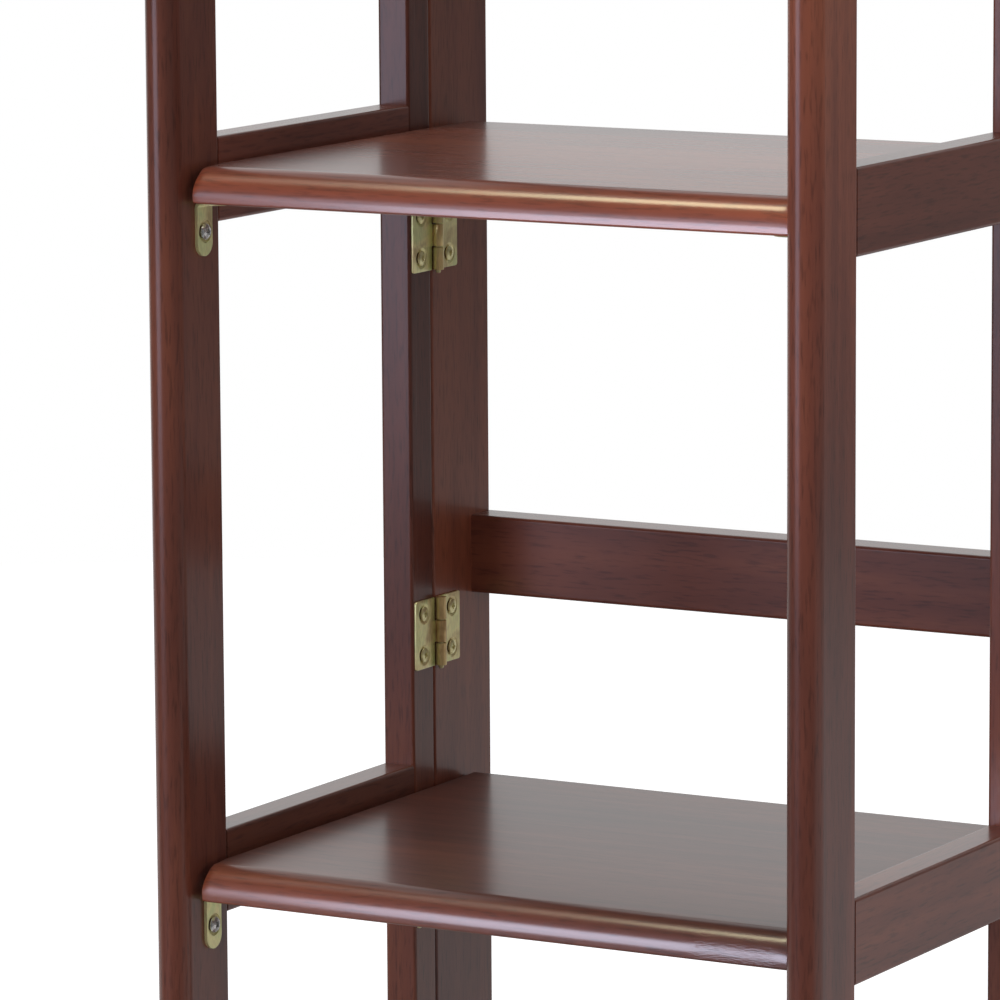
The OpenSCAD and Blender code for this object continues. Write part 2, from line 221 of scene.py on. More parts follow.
# dark brown-red stain under a clear semi-gloss lacquer
lacquer = {
    "dark": (0.067, 0.0165, 0.0097, 1),
    "middle": (0.122, 0.0310, 0.0175, 1),
    "light": (0.195, 0.0540, 0.0265, 1),
    "roughness": 0.5,
    "underGloss": 0.25,
    "coat": 1.0,
    "coatRoughness": 0.22,
    "coatIor": 1.5,
    "figure": {"across": 95.0, "along": 4.3, "detail": 5, "warp": 0.6},
    "cloud": {"across": 9.0, "along": 3.0, "detail": 3, "warp": 0.3},
    "pores": {"across": 900.0, "along": 90.0, "detail": 2, "warp": 0.0},
    "figureShare": 0.34,
    "cloudShare": 0.66,
    "stainSteps": (0.36, 0.50, 0.64),
    "poreEdge": (0.30, 0.48),
    "poreDepth": 0.66,
    "ripple": 0.03,
    "relief": 0.0004,
    "noseDepth": 0.012,
    # painted light and shade on the nose: warmer and brighter on its upturned round, darker on its foremost
    # face
    "noseLightAndShade": ((0, (0.86, 0.77, 0.60, 1)), (0.05, (1.10, 0.84, 0.50, 1)),
                  (0.20, (1.10, 0.87, 0.58, 1)), (0.50, (1, 1, 1, 1))),
}

# how light each board comes out, where it differs from the rest: partly its own stain, partly painted light
# and shade where a board catches more or less light than the others
boardStainAndLight = {
    "left_front_stile": 0.96,
    "left_rear_stile": 0.84,
    "left_rail_2": 0.70,
    "left_rail_3": 1.60,
    "right_front_stile": 1.30,
    "right_rear_stile": 1.15,
    "right_rail_2": 1.12,
    "right_rail_3": 1.12,
    "middle_back_rail": 1.06,
    "board_2": 0.88,
    "board_3": 1.90,
}

# and where its lacquer is thinner
boardCoats = {"board_2": 0.81}

# where along X use has rubbed the lacquer of a nose, and how fine and deep the scratches are
rubbed = {
    "board_2": {"from": 0.098, "to": 0.142, "fade": 0.005, "behindFront": (0.001, 0.003),
                "scratches": (320, 900, 1600), "scratchEdge": (0.42, 0.62), "depth": 0.1},
}


def newMaterial(name):
    material = bpy.data.materials.new(name)
    material.use_nodes = True
    tree = material.node_tree
    return material, tree, tree.nodes["Principled BSDF"]


def noiseOn(tree, source, scale, detail, shift=(0, 0, 0), distortion=0.0):
    mapping = makeNode(tree, "ShaderNodeMapping", Location=shift, Scale=scale)
    tree.links.new(source, mapping.inputs["Vector"])
    made = makeNode(tree, "ShaderNodeTexNoise", Scale=1.0, Detail=detail, Distortion=distortion)
    tree.links.new(mapping.outputs[0], made.inputs["Vector"])
    return made.outputs["Fac"]


def rampOf(tree, source, stops):
    ramp = makeNode(tree, "ShaderNodeValToRGB")
    keys = ramp.color_ramp.elements
    keys[0].position, keys[0].color = stops[0]
    keys[1].position, keys[1].color = stops[-1]
    for place, colour in stops[1:-1]:
        keys.new(place).color = colour
    tree.links.new(source, ramp.inputs[0])
    return ramp.outputs["Color"]


def spreadOf(tree, source, low, high, toLow, toHigh, kind="LINEAR"):
    made = makeNode(tree, "ShaderNodeMapRange", interpolation_type=kind)
    for socket, value in zip(("From Min", "From Max", "To Min", "To Max"), (low, high, toLow, toHigh)):
        made.inputs[socket].default_value = value
    tree.links.new(source, made.inputs["Value"])
    return made.outputs[0]


def mathOf(tree, operation, a, b=None, c=None):
    made = makeNode(tree, "ShaderNodeMath", operation=operation)
    for socket, value in zip(made.inputs, (a, b, c)):
        if value is None:
            continue
        if isinstance(value, (int, float)):
            socket.default_value = value
        else:
            tree.links.new(value, socket)
    return made.outputs[0]


def placeOn(tree):
    return makeNode(tree, "ShaderNodeTexCoord").outputs["Object"]


def partOf(tree, source, axis):
    made = makeNode(tree, "ShaderNodeSeparateXYZ")
    tree.links.new(source, made.inputs[0])
    return made.outputs[axis]


def scaledBy(tree, colour, amount):
    made = makeNode(tree, "ShaderNodeVectorMath", operation="SCALE")
    tree.links.new(colour, made.inputs[0])
    tree.links.new(amount, made.inputs["Scale"])
    return made.outputs[0]


def bumpOn(tree, height, strength, distance):
    made = makeNode(tree, "ShaderNodeBump", Strength=strength, Distance=distance)
    tree.links.new(height, made.inputs["Height"])
    return made.outputs[0]


# tints a colour by the distance in Y from a line along the piece
def tintBeside(tree, colour, place, line, reach, stops):
    away = mathOf(tree, "ABSOLUTE", mathOf(tree, "SUBTRACT", partOf(tree, place, "Y"), line))
    tinted = makeNode(tree, "ShaderNodeVectorMath", operation="MULTIPLY")
    tree.links.new(colour, tinted.inputs[0])
    tree.links.new(rampOf(tree, spreadOf(tree, away, 0, reach, 0, 1), stops), tinted.inputs[1])
    return tinted.outputs[0]


# scratches that break the shine of a nose between two places along X
def rubbedRelief(tree, place, noseAt, wear):
    along = partOf(tree, place, "X")
    begun = spreadOf(tree, along, wear["from"], wear["from"] + wear["fade"], 0, 1)
    ended = spreadOf(tree, along, wear["to"] - wear["fade"], wear["to"], 1, 0)
    shown, hidden = (noseAt + reach for reach in wear["behindFront"])
    front = spreadOf(tree, partOf(tree, place, "Y"), shown, hidden, 1, 0)
    noise = noiseOn(tree, place, wear["scratches"], 4)
    marks = spreadOf(tree, noise, *wear["scratchEdge"], 0, wear["depth"])
    region = mathOf(tree, "MULTIPLY", mathOf(tree, "MULTIPLY", begun, ended), front)
    return mathOf(tree, "MULTIPLY", region, marks)


# grain is the axis that the fibres run along
def lacqueredWood(name, grain, seed, noseAt=None):
    material, tree, shader = newMaterial("lacquer_" + name)
    place = placeOn(tree)
    shift = (seed * 1.7, seed * 0.9, seed * 2.3)

    def streaks(kind):
        marks = lacquer[kind]
        scale = [marks["across"]] * 3
        scale["xyz".index(grain)] = marks["along"]
        return noiseOn(tree, place, scale, marks["detail"], shift, marks["warp"])

    figure = streaks("figure")
    clouds = mathOf(tree, "MULTIPLY", streaks("cloud"), lacquer["cloudShare"])
    mixed = mathOf(tree, "MULTIPLY_ADD", figure, lacquer["figureShare"], clouds)
    colours = (lacquer["dark"], lacquer["middle"], lacquer["light"])
    stainAndNoseLight = rampOf(tree, mixed, list(zip(lacquer["stainSteps"], colours)))
    if noseAt is not None:
        # painted light and shade: the nose's upturned round is tinted warmer and brighter where light from
        # above falls on it, and its foremost face darker
        stainAndNoseLight = tintBeside(tree, stainAndNoseLight, place, noseAt, lacquer["noseDepth"], lacquer["noseLightAndShade"])
    # the board's brightness, partly its own stain and partly painted light and shade
    tone = boardStainAndLight.get(name, 1.0)
    level = spreadOf(tree, streaks("pores"), *lacquer["poreEdge"], tone * lacquer["poreDepth"], tone)
    tree.links.new(scaledBy(tree, stainAndNoseLight, level), shader.inputs["Base Color"])

    height = mathOf(tree, "MULTIPLY", figure, lacquer["ripple"])
    if name in rubbed:
        height = mathOf(tree, "ADD", height, rubbedRelief(tree, place, noseAt, rubbed[name]))
    bump = bumpOn(tree, height, 1.0, lacquer["relief"])
    tree.links.new(bump, shader.inputs["Normal"])
    tree.links.new(bump, shader.inputs["Coat Normal"])
    shader.inputs["Roughness"].default_value = lacquer["roughness"]
    shader.inputs["Specular IOR Level"].default_value = lacquer["underGloss"]
    shader.inputs["Coat Weight"].default_value = boardCoats.get(name, lacquer["coat"])
    shader.inputs["Coat Roughness"].default_value = lacquer["coatRoughness"]
    shader.inputs["Coat IOR"].default_value = lacquer["coatIor"]
    return material


# pressed steel with a yellow passivated zinc skin, whose tint drifts from green to gold to brown
yellowZinc = {
    "green": (0.80, 0.82, 0.41, 1),
    "gold": (0.94, 0.86, 0.45, 1),
    "brown": (0.66, 0.52, 0.27, 1),
    "metallic": 0.60,
    "roughness": 0.34,
    "patch": 60.0,
    "patchWarp": 0.8,
    "tintSteps": (0.34, 0.52, 0.70),
    "scratches": (1400, 1400, 260),
    "scratchShade": (0.35, 0.65, 0.88, 1.08),
    "scratchBump": (0.08, 0.0001),
    "barrelReach": 0.020,
    # painted shade and reflection where the leaf meets its barrel: the knuckle darker and browner, the plate
    # beside it olive
    "shadeBesideBarrel": ((0, (0.84, 0.68, 0.62, 1)), (0.12, (0.88, 0.72, 0.62, 1)),
                     (0.16, (0.78, 0.90, 0.60, 1)), (0.40, (1, 1, 1, 1))),
}

# cut and domed metal: the same finish, brighter and less even, then pale zinc and plain steel
turnedFinish = {
    "patch": 420,
    "patchSteps": (0.34, 0.62),
    "pits": 2200,
    "pitBump": (0.12, 0.0001),
}
screwMetal = {
    "brass": {"low": (0.66, 0.58, 0.28, 1), "high": (0.96, 0.90, 0.50, 1), "roughness": 0.3,
              "metallic": 0.7},
    "zinc": {"low": (0.52, 0.53, 0.52, 1), "high": (0.88, 0.88, 0.86, 1), "roughness": 0.26,
             "metallic": 0.85},
    "steel": {"low": (0.50, 0.50, 0.51, 1), "high": (0.74, 0.74, 0.75, 1), "roughness": 0.32,
              "metallic": 1.0},
}


def yellowMetal(name, seed, barrelAt=None):
    material, tree, shader = newMaterial(name)
    place = placeOn(tree)
    shift = (seed * 3.1, seed * 1.3, seed * 0.7)
    patch = noiseOn(tree, place, [yellowZinc["patch"]] * 3, 3, shift, yellowZinc["patchWarp"])
    fine = noiseOn(tree, place, yellowZinc["scratches"], 3, shift)
    colours = (yellowZinc["green"], yellowZinc["gold"], yellowZinc["brown"])
    tintAndBarrelShade = rampOf(tree, patch, list(zip(yellowZinc["tintSteps"], colours)))
    # painted shade and reflection beside the knuckle: darker and browner on it, olive on the plate next to
    # it
    if barrelAt is not None:
        tintAndBarrelShade = tintBeside(tree, tintAndBarrelShade, place, barrelAt, yellowZinc["barrelReach"], yellowZinc["shadeBesideBarrel"])
    shade = spreadOf(tree, fine, *yellowZinc["scratchShade"])
    tree.links.new(scaledBy(tree, tintAndBarrelShade, shade), shader.inputs["Base Color"])
    tree.links.new(bumpOn(tree, fine, *yellowZinc["scratchBump"]), shader.inputs["Normal"])
    shader.inputs["Metallic"].default_value = yellowZinc["metallic"]
    shader.inputs["Roughness"].default_value = yellowZinc["roughness"]
    return material


def turnedMetal(name, finish):
    kind = screwMetal[finish]
    material, tree, shader = newMaterial(name)
    place = placeOn(tree)
    patch = noiseOn(tree, place, [turnedFinish["patch"]] * 3, 4)
    pits = noiseOn(tree, place, [turnedFinish["pits"]] * 3, 2)
    stops = list(zip(turnedFinish["patchSteps"], (kind["low"], kind["high"])))
    tree.links.new(rampOf(tree, patch, stops), shader.inputs["Base Color"])
    tree.links.new(bumpOn(tree, pits, *turnedFinish["pitBump"]), shader.inputs["Normal"])
    shader.inputs["Metallic"].default_value = kind["metallic"]
    shader.inputs["Roughness"].default_value = kind["roughness"]
    return material


def softSpeckle(name, dark, light, scale, roughness, steps=(0.35, 0.65)):
    material, tree, shader = newMaterial(name)
    grain = noiseOn(tree, placeOn(tree), scale, 3)
    stops = list(zip(steps, (dark, light)))
    tree.links.new(rampOf(tree, grain, stops), shader.inputs["Base Color"])
    shader.inputs["Roughness"].default_value = roughness
    return material


def dressNode(node, material):
    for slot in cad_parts[node].material_slots:
        slot.material = material


def dressFrame():
    steel = turnedMetal("pin_steel", "steel")
    brassPin = turnedMetal("hinge_pin_metal", "brass")
    nylon = softSpeckle("brown_nylon", (0.030, 0.020, 0.015, 1), (0.050, 0.034, 0.026, 1),
                        [300] * 3, 0.45)
    birch = softSpeckle("birch_dowel", (0.50, 0.36, 0.20, 1), (0.66, 0.50, 0.31, 1),
                        [500, 60, 500], 0.6)
    for number, node in enumerate(sorted(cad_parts)):
        if "dowels" in node:
            dressNode(node, birch)
        elif "spacers" in node:
            dressNode(node, nylon)
        elif "pivot_pins" in node:
            dressNode(node, steel)
        elif "screws" in node or "hinge_pins" in node or "leaves" in node or "bracket" in node:
            dressNode(node, brassPin)
        elif node.startswith("shelf") or "back_rail" in node:
            dressNode(node, lacqueredWood(node, "x", number))
        elif "rail" in node:
            dressNode(node, lacqueredWood(node, "y", number))
        else:
            dressNode(node, lacqueredWood(node, "z", number))
    print("frame dressed")


# how far a cutter runs past the face that it opens, and how round it is
cutPast = 0.0005
cutterSides = 40

# a bevel this share of the full half width leaves no faces without width
nearlyHalf = 0.9995


def editBody(body):
    deselect()
    bpy.context.view_layer.objects.active = body
    body.select_set(True)
    bpy.ops.object.mode_set(mode="EDIT")
    bpy.ops.mesh.select_all(action="DESELECT")
    return bmesh.from_edit_mesh(body.data)


def leaveEdit():
    bpy.ops.object.mode_set(mode="OBJECT")


def addBox(name, low, high):
    deselect()
    middle = [(a + b) / 2 for a, b in zip(low, high)]
    bpy.ops.mesh.primitive_cube_add(size=1, location=middle)
    body = bpy.context.object
    body.name = name
    body.scale = [b - a for a, b in zip(low, high)]
    bpy.ops.object.transform_apply(location=True, rotation=True, scale=True)
    return body


def pickFaces(mesh, test):
    bpy.ops.mesh.select_mode(type="FACE")
    for face in mesh.faces:
        face.select_set(bool(test(face.calc_center_median(), face.normal)))
    bmesh.update_edit_mesh(bpy.context.object.data)


def pickEdges(mesh, test):
    bpy.ops.mesh.select_mode(type="EDGE")
    bpy.ops.mesh.select_all(action="DESELECT")
    for edge in mesh.edges:
        a, b = (v.co for v in edge.verts)
        if test((a + b) / 2, (b - a).normalized()):
            edge.select_set(True)
    bmesh.update_edit_mesh(bpy.context.object.data)


def near(a, b, reach=1e-5):
    return abs(a - b) < reach


def easeRims(width, steps, sharpness=40):
    bpy.ops.mesh.select_mode(type="EDGE")
    bpy.ops.mesh.select_all(action="DESELECT")
    bpy.ops.mesh.edges_select_sharp(sharpness=math.radians(sharpness))
    bpy.ops.mesh.bevel(offset=width, segments=steps, affect="EDGES", clamp_overlap=True)


def tidyMesh():
    bpy.ops.mesh.select_all(action="SELECT")
    bpy.ops.mesh.remove_doubles(threshold=1e-6)
    bpy.ops.mesh.normals_make_consistent(inside=False)


def cutWith(body, cutter):
    deselect()
    bpy.context.view_layer.objects.active = body
    body.select_set(True)
    cut = body.modifiers.new("cut", "BOOLEAN")
    cut.operation = "DIFFERENCE"
    cut.solver = "EXACT"
    cut.object = cutter
    bpy.ops.object.modifier_apply(modifier="cut")
    bpy.data.objects.remove(cutter)


def joinBodies(bodies, name):
    deselect()
    for body in bodies:
        body.select_set(True)
    bpy.context.view_layer.objects.active = bodies[0]
    if len(bodies) > 1:
        bpy.ops.object.join()
    joined = bpy.context.view_layer.objects.active
    joined.name = name
    return joined


def smoothBody(body, angle=32):
    deselect()
    bpy.context.view_layer.objects.active = body
    body.select_set(True)
    bpy.ops.object.shade_smooth_by_angle(angle=math.radians(angle))
    level = body.modifiers.new("level", "WEIGHTED_NORMAL")
    level.keep_sharp = True
    bpy.ops.object.modifier_apply(modifier="level")


# a tapered cutter along X that widens a screw hole, its wide end just past the plane x = faceX
def sinkCutter(faceX, y, z, wideRadius, holeRadius, depth, through):
    widest = wideRadius + (wideRadius - holeRadius) / depth * cutPast
    deselect()
    bpy.ops.mesh.primitive_cone_add(vertices=cutterSides, radius1=holeRadius, radius2=widest,
                                    depth=depth + cutPast, rotation=(0, math.pi / 2, 0),
                                    location=(faceX + (cutPast - depth) / 2, y, z))
    cutter = bpy.context.object
    bpy.ops.object.transform_apply(location=True, rotation=True, scale=True)
    mesh = editBody(cutter)
    pickFaces(mesh, lambda c, n: n.x < -0.9)
    bpy.ops.mesh.extrude_region_move(TRANSFORM_OT_translate={"value": (depth - through, 0, 0)})
    tidyMesh()
    leaveEdit()
    return cutter


# a hinge leaf drawn with its pin on the Z axis and its plate towards +Y
hingeLeaf = {
    "height": 0.032,
    "reach": 0.020,
    "thickness": 0.0012,
    "barrelRadius": 0.0026,
    "gap": 0.0006,
    "cornerRadius": 0.0012,
    "cornerSteps": 6,
    "rim": 0.00020,
    "rollAngle": 300,
    "rollSteps": 30,
    "screwReach": 0.0127,
    "screwHeight": 0.0096,
    "sinkRadius": 0.0038,
    "holeRadius": 0.0017,
    "sinkDepth": 0.0010,
}


def modelLeaf(name, knuckles):
    leaf = hingeLeaf
    half = leaf["height"] / 2
    pitch = leaf["height"] / 3
    back = -leaf["barrelRadius"]
    face = back + leaf["thickness"]
    root = leaf["barrelRadius"] + leaf["gap"]
    spans = []
    for k in range(3):
        low = -half + k * pitch + (leaf["gap"] / 2 if k > 0 else 0)
        high = -half + (k + 1) * pitch - (leaf["gap"] / 2 if k < 2 else 0)
        spans.append((low, high))
    body = addBox(name, (back, root, -half), (face, leaf["reach"], half))
    editBody(body)
    for low, high in spans:
        for level in (low, high):
            if not near(abs(level), half):
                bpy.ops.mesh.select_all(action="SELECT")
                bpy.ops.mesh.bisect(plane_co=(0, 0, level), plane_no=(0, 0, 1))
    mesh = bmesh.from_edit_mesh(body.data)
    wanted = [spans[k] for k in knuckles]
    pickFaces(mesh, lambda c, n: n.y < -0.9 and any(low < c.z < high for low, high in wanted))
    bpy.ops.mesh.extrude_region_move(TRANSFORM_OT_translate={"value": (0, -root, 0)})
    bpy.ops.mesh.spin(steps=leaf["rollSteps"], angle=math.radians(leaf["rollAngle"]), center=(0, 0, 0),
                      axis=(0, 0, -1))
    tidyMesh()
    mesh = bmesh.from_edit_mesh(body.data)
    pickEdges(mesh, lambda c, d: abs(d.x) > 0.9 and near(c.y, leaf["reach"]) and near(abs(c.z), half))
    bpy.ops.mesh.bevel(offset=leaf["cornerRadius"], segments=leaf["cornerSteps"], affect="EDGES")
    easeRims(leaf["rim"], 2)
    tidyMesh()
    leaveEdit()
    cutters = []
    for z in (-leaf["screwHeight"], leaf["screwHeight"]):
        cutters.append(sinkCutter(face, leaf["screwReach"], z, leaf["sinkRadius"], leaf["holeRadius"],
                                  leaf["sinkDepth"], leaf["thickness"] + cutPast))
    cutWith(body, joinBodies(cutters, "cutter"))
    smoothBody(body, 25)
    return body


# a raised countersunk screw along -Z, the rim of its head at z = 0; each one of a row stopped at
# another turn, which is nextTurn further in radians
leafScrew = {
    "headRadius": 0.0034,
    "rimHeight": 0.0002,
    "rimRadius": 0.00012,
    "headHeight": 0.00088,
    "domeAngles": (0, 10, 22, 36, 50, 64, 78),
    "coneDepth": 0.0010,
    "shankRadius": 0.0014,
    "shankLength": 0.0060,
    "tipShare": (0.9, 2.0),
    "sides": 40,
    "slotReach": 0.0017,
    "slotWidth": 0.0012,
    "slotDepth": 0.0013,
    "slotPast": 0.0004,
    "slotFoot": 0.6,
    "nextTurn": 1.37,
}
bracketScrew = dict(leafScrew, headRadius=0.0036, headHeight=0.00195, coneDepth=0.0008,
                    slotDepth=0.0015, nextTurn=1.1)


def modelScrew(name, s):
    deselect()
    bpy.ops.mesh.primitive_cylinder_add(vertices=s["sides"], radius=s["headRadius"],
                                        depth=s["rimHeight"], end_fill_type="NGON",
                                        location=(0, 0, -s["rimHeight"] / 2))
    body = bpy.context.object
    body.name = name
    bpy.ops.object.transform_apply(location=True, rotation=True, scale=True)
    mesh = editBody(body)
    pickFaces(mesh, lambda c, n: n.z > 0.9)
    # the dome rises in rings
    for a, b in zip(s["domeAngles"], s["domeAngles"][1:]):
        step = s["headRadius"] * (math.cos(math.radians(a)) - math.cos(math.radians(b)))
        rise = s["headHeight"] * (math.sin(math.radians(b)) - math.sin(math.radians(a)))
        bpy.ops.mesh.inset(thickness=step, depth=rise, use_even_offset=False)
    mesh = bmesh.from_edit_mesh(body.data)
    pickFaces(mesh, lambda c, n: n.z < -0.9)
    under = s["headRadius"] - s["shankRadius"]
    bpy.ops.mesh.inset(thickness=under, depth=s["coneDepth"], use_even_offset=False)
    bpy.ops.mesh.extrude_region_move(TRANSFORM_OT_translate={"value": (0, 0, -s["shankLength"])})
    inward, onward = (s["shankRadius"] * share for share in s["tipShare"])
    bpy.ops.mesh.inset(thickness=inward, depth=onward, use_even_offset=False)
    tidyMesh()
    easeRims(s["rimRadius"], 2, 60)
    tidyMesh()
    leaveEdit()
    cutWith(body, crossBar(s, 1))
    cutWith(body, crossBar(s, -1))
    smoothBody(body)
    return body


# one bar of the driver's cross, shorter towards its foot
def crossBar(s, turn):
    foot = s["headHeight"] - s["slotDepth"]
    reach = (s["slotReach"], s["slotWidth"] / 2)[::turn]
    cutter = addBox("cutter", (-reach[0], -reach[1], foot), (*reach, s["headHeight"] + s["slotPast"]))
    mesh = editBody(cutter)
    pickFaces(mesh, lambda c, n: n.z < -0.9)
    bpy.ops.transform.resize(value=(s["slotFoot"], s["slotFoot"], 1), center_override=(0, 0, foot))
    leaveEdit()
    return cutter


def turnMesh(body, matrix):
    body.data.transform(matrix)
    if matrix.determinant() < 0:
        editBody(body)
        bpy.ops.mesh.select_all(action="SELECT")
        bpy.ops.mesh.flip_normals()
        leaveEdit()


# a strip folded to an L, drawn with its tab's back on x = 0 and its leg towards +X
bracket = {
    "width": 0.0120,
    "thickness": 0.0015,
    "drop": 0.0242,
    "bendRadius": 0.0015,
    "reach": 0.0145,
    "bendSteps": 10,
    "endSteps": 16,
    "rim": 0.0005,
    "screwDrop": 0.0135,
    "sinkRadius": 0.0038,
    "holeRadius": 0.0017,
    "sinkDepth": 0.0009,
    "fromFront": 0.0239,
    "underRail": 0.0263,
}


def modelBracket(name):
    b = bracket
    half = b["width"] / 2
    knee = b["thickness"] + b["bendRadius"]
    body = addBox(name, (0, -half, -b["drop"]), (b["thickness"], half, -knee))
    mesh = editBody(body)
    pickFaces(mesh, lambda c, n: n.z > 0.9)
    bpy.ops.mesh.spin(steps=b["bendSteps"], angle=math.pi / 2, center=(knee, 0, -knee), axis=(0, -1, 0))
    mesh = bmesh.from_edit_mesh(body.data)
    pickFaces(mesh, lambda c, n: n.x > 0.9 and near(c.x, knee))
    bpy.ops.mesh.extrude_region_move(TRANSFORM_OT_translate={"value": (b["reach"] - knee, 0, 0)})
    tidyMesh()
    mesh = bmesh.from_edit_mesh(body.data)
    pickEdges(mesh, lambda c, d: near(abs(c.y), half) and (near(c.x, b["reach"]) or near(c.z, -b["drop"])))
    bpy.ops.mesh.bevel(offset=half * nearlyHalf, segments=b["endSteps"], affect="EDGES",
                       clamp_overlap=False)
    tidyMesh()
    easeRims(b["rim"], 3, 45)
    tidyMesh()
    leaveEdit()
    cutWith(body, sinkCutter(b["thickness"], 0, -b["screwDrop"], b["sinkRadius"], b["holeRadius"],
                             b["sinkDepth"], b["thickness"] + cutPast))
    smoothBody(body, 22)
    return body


# one board with a rounded nose, a full round rear edge and ends eased by sanding, its middle at z = 0
shelfBoard = {
    "thickness": 0.0155,
    "front": -0.12925,
    "pivot": 0.11035,
    "noseTop": 0.0115,
    "noseFoot": 0.00125,
    "noseLean": 8,
    "leanReach": 0.004,
    "leanCuts": (0.0005, 0.0010, 0.0015),
    "topSteps": 18,
    "footSteps": 6,
    "rearSteps": 12,
    "left": -0.1401,
    "right": 0.1448,
    "rightRear": 0.1401,
    "noseDepth": 0.020,
    "taperEnd": 0.00535,
    "rim": 0.0006,
    "sanded": ((0, 0.0024), (0.001, 0.0012), (0.002, 0.0005), (0.003, 0.00012), (0.004, 0)),
    "sandedShare": {"left": 0.6, "right": 0.2},
    "sandedFoot": 0.15,
    "sandedTop": 0.4,
    "underRail": 0.0185,
}


def easeBetween(value, low, high):
    t = max(0, min(1, (value - low) / (high - low)))
    return t * t * (3 - 2 * t)


# carries the nose's round on below its front, until the face leans under by noseLean degrees
def leanNoseUnder(mesh):
    b = shelfBoard
    level = b["thickness"] / 2 - b["noseTop"]
    turned = b["noseTop"] * math.sin(math.radians(b["noseLean"]))
    for vert in mesh.verts:
        drop = level - vert.co.z
        if drop > 0 and vert.co.y < b["front"] + b["leanReach"]:
            soft = min(drop, turned)
            vert.co.y += (soft ** 2 / 2 + (drop - soft) * soft) / b["noseTop"]


# rounds the nose towards its ends, most at half its height
def sandNoseEnds(body):
    b = shelfBoard
    middle = Vector((0, b["front"] + b["noseTop"], b["thickness"] / 2 - b["noseTop"]))
    mesh = bmesh.from_edit_mesh(body.data)
    for vert in mesh.verts:
        arm = Vector((0, vert.co.y, vert.co.z)) - middle
        if arm.y > 1e-5:
            continue
        angle = math.degrees(math.atan2(arm.z, -arm.y))
        share = b["sandedFoot"] + (1 - b["sandedFoot"]) * easeBetween(angle, -5, 45)
        share -= (1 - b["sandedTop"]) * easeBetween(angle, 50, 90)
        side = "left" if vert.co.x < 0 else "right"
        for inset, depth in b["sanded"]:
            if near(abs(vert.co.x), abs(b[side]) - inset):
                vert.co -= arm * depth * share * b["sandedShare"][side] / b["noseTop"]
                break
    leanNoseUnder(mesh)
    bmesh.update_edit_mesh(body.data)


def modelShelf(name):
    b = shelfBoard
    r = b["thickness"] / 2
    body = addBox(name, (b["left"], b["front"], -r), (b["right"], b["pivot"] + r, r))
    editBody(body)
    for level in (b["front"] + b["noseDepth"], b["taperEnd"], b["pivot"]):
        bpy.ops.mesh.select_all(action="SELECT")
        bpy.ops.mesh.bisect(plane_co=(0, level, 0), plane_no=(0, 1, 0))
    mesh = bmesh.from_edit_mesh(body.data)
    pickFaces(mesh, lambda c, n: c.y > b["taperEnd"] and near(c.x, b["right"]))
    bpy.ops.transform.translate(value=(b["rightRear"] - b["right"], 0, 0))
    for inset, depth in b["sanded"][1:]:
        for end in (b["left"] + inset, b["right"] - inset):
            bpy.ops.mesh.select_all(action="SELECT")
            bpy.ops.mesh.bisect(plane_co=(end, 0, 0), plane_no=(1, 0, 0))
    rear = b["pivot"] + r
    rounds = ((b["front"], r, b["noseTop"], b["topSteps"]),
              (b["front"], -r, b["noseFoot"], b["footSteps"]),
              (rear, r, r * nearlyHalf, b["rearSteps"]),
              (rear, -r, r * nearlyHalf, b["rearSteps"]))
    for side, height, width, steps in rounds:
        mesh = bmesh.from_edit_mesh(body.data)
        pickEdges(mesh, lambda c, d: abs(d.x) > 0.9 and near(c.y, side) and near(c.z, height))
        bpy.ops.mesh.bevel(offset=width, segments=steps, affect="EDGES", clamp_overlap=False)
    for drop in b["leanCuts"]:
        bpy.ops.mesh.select_all(action="SELECT")
        bpy.ops.mesh.bisect(plane_co=(0, 0, r - b["noseTop"] - drop), plane_no=(0, 0, 1))
    tidyMesh()
    sandNoseEnds(body)
    easeRims(b["rim"], 3, 60)
    tidyMesh()
    leaveEdit()
    smoothBody(body, 40)
    return body


def copyOf(body, matrix):
    made = body.copy()
    made.data = body.data.copy()
    bpy.context.scene.collection.objects.link(made)
    turnMesh(made, matrix)
    return made


def placePiece(piece, name, body, node, material):
    piece.name = name
    piece.data.name = name
    piece.data.materials.clear()
    piece.data.materials.append(material)
    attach(piece, body)
    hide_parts(node)


# where the fittings sit, from the same measures as the frame
rack = {
    "front": -0.13675,
    "halfWidth": 0.1455,
    "railTops": (0.130, 0.435, 0.740, 1.045),
    "pinFromWall": 0.0026,
    "pinDepth": {"left": 0.08555, "right": 0.10255},
    "hingeDrop": 0.061,
    "middleHingeRise": {"left": 0.060, "right": 0.056},
}


# the left side's pieces are drawn as they sit, and the right side's are their mirror images
def mirrorOf(side, way=1):
    return Matrix.Diagonal((1 if side == "left" else -1, way, 1, 1))


def screwTurn(s, number):
    return Matrix.Rotation(math.pi / 2, 4, "Y") @ Matrix.Rotation(number * s["nextTurn"], 4, "Z")


def outward(side):
    return -1 if side == "left" else 1


def hingePlaces(side):
    heights = [top - rack["hingeDrop"] for top in rack["railTops"]]
    heights.insert(2, rack["railTops"][1] + rack["middleHingeRise"][side])
    across = outward(side) * (rack["halfWidth"] - rack["pinFromWall"])
    return [Matrix.Translation((across, rack["pinDepth"][side], height)) for height in heights]


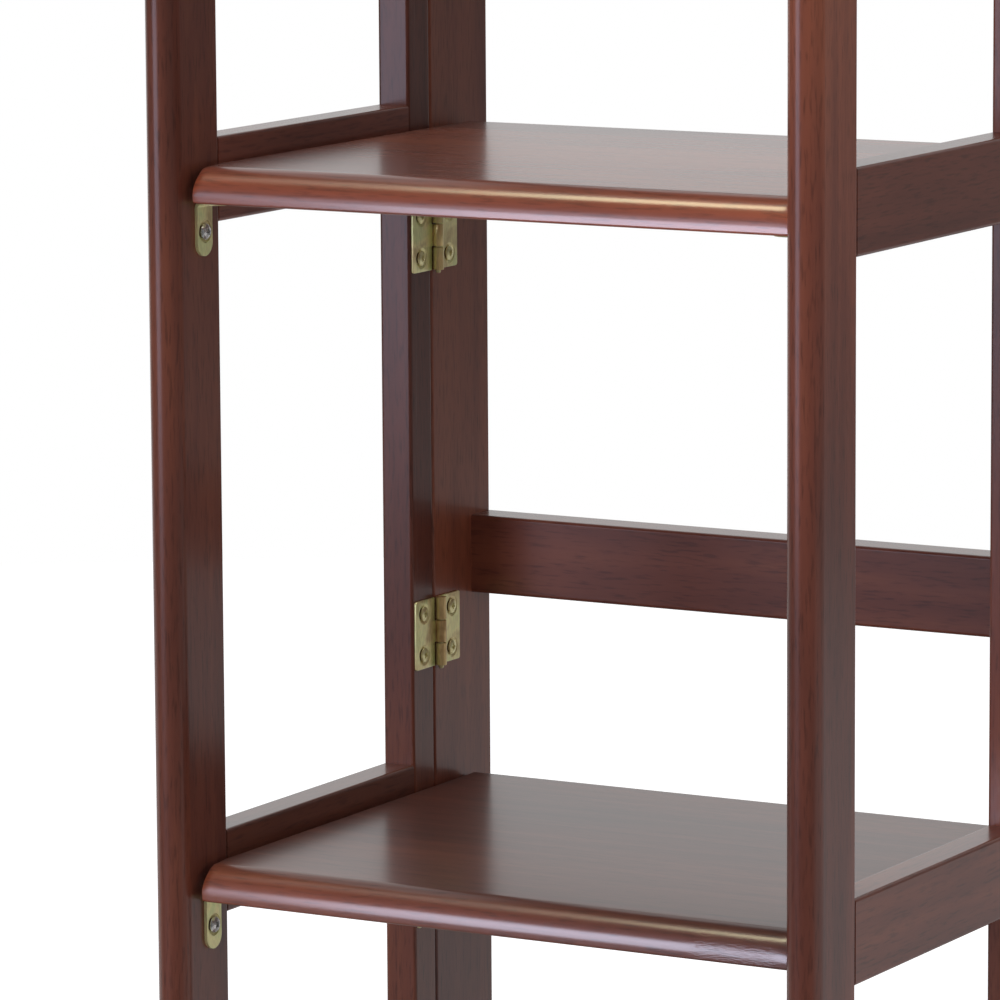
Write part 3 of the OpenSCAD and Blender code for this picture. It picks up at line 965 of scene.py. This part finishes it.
def makeHinges(materials):
    plates = {"side": modelLeaf("leaf_side", [1]), "back": modelLeaf("leaf_back", [0, 2])}
    head = modelScrew("leaf_screw", leafScrew)
    face = hingeLeaf["thickness"] - hingeLeaf["barrelRadius"]
    count = 0
    for side in ("left", "right"):
        for part, way in (("side", -1), ("back", 1)):
            leaves = []
            heads = []
            for place in hingePlaces(side):
                frameTurn = place @ mirrorOf(side, way)
                leaves.append(copyOf(plates[part], frameTurn))
                for height in (-hingeLeaf["screwHeight"], hingeLeaf["screwHeight"]):
                    count += 1
                    spot = Matrix.Translation((face, hingeLeaf["screwReach"], height))
                    heads.append(copyOf(head, frameTurn @ spot @ screwTurn(leafScrew, count)))
            body = side + "_side" if part == "side" else "back_frame"
            stem = side + "_" + part
            placePiece(joinBodies(leaves, stem), side + part.capitalize() + "LeavesRolled", body,
                       stem + "_leaves", materials["leaf"](stem, rack["pinDepth"][side]))
            placePiece(joinBodies(heads, stem), side + part.capitalize() + "LeafScrewHeads", body,
                       stem + "_leaf_screws", materials["leafScrew"])
    for body in (*plates.values(), head):
        bpy.data.objects.remove(body)
    print("hinges made")


def makeBrackets(materials):
    strip = modelBracket("bracket_strip")
    head = modelScrew("bracket_screw", bracketScrew)
    depth = rack["front"] + bracket["fromFront"]
    for side in ("left", "right"):
        across = outward(side) * rack["halfWidth"]
        heads = []
        for number, top in enumerate(rack["railTops"], 1):
            place = Matrix.Translation((across, depth, top - bracket["underRail"]))
            frameTurn = place @ mirrorOf(side)
            piece = copyOf(strip, frameTurn)
            node = "%s_bracket_%d" % (side, number)
            placePiece(piece, "%sBracketBent%d" % (side, number), side + "_side", node,
                       materials["leaf"](node, None))
            spot = Matrix.Translation((bracket["thickness"], 0, -bracket["screwDrop"]))
            heads.append(copyOf(head, frameTurn @ spot @ screwTurn(bracketScrew, number)))
        placePiece(joinBodies(heads, side), side + "BracketScrewHeads", side + "_side",
                   side + "_bracket_screws", materials["bracketScrew"])
    for body in (strip, head):
        bpy.data.objects.remove(body)
    print("brackets made")


def makeShelves(materials):
    board = modelShelf("board")
    boards = {}
    for number, top in enumerate(rack["railTops"], 1):
        piece = copyOf(board, Matrix.Translation((0, 0, top - shelfBoard["underRail"])))
        node = "shelf_%d" % number
        placePiece(piece, "shelfBoard%d" % number, node, node, materials["shelf"](number))
        boards[number] = piece
    bpy.data.objects.remove(board)
    keepToBoards(boards)
    print("shelves made")


makeCamera()
makeLamps()
makeWorld()
makeFloor()
dressFrame()
finishes = {
    "leaf": lambda stem, barrelAt: yellowMetal("yellow_zinc_" + stem, sum(map(ord, stem)) % 17, barrelAt),
    "leafScrew": turnedMetal("leaf_screw_metal", "brass"),
    "bracketScrew": turnedMetal("bracket_screw_metal", "zinc"),
    "shelf": lambda number: lacqueredWood("board_%d" % number, "x", 20 + number, shelfBoard["front"]),
}
makeHinges(finishes)
makeBrackets(finishes)
makeShelves(finishes)
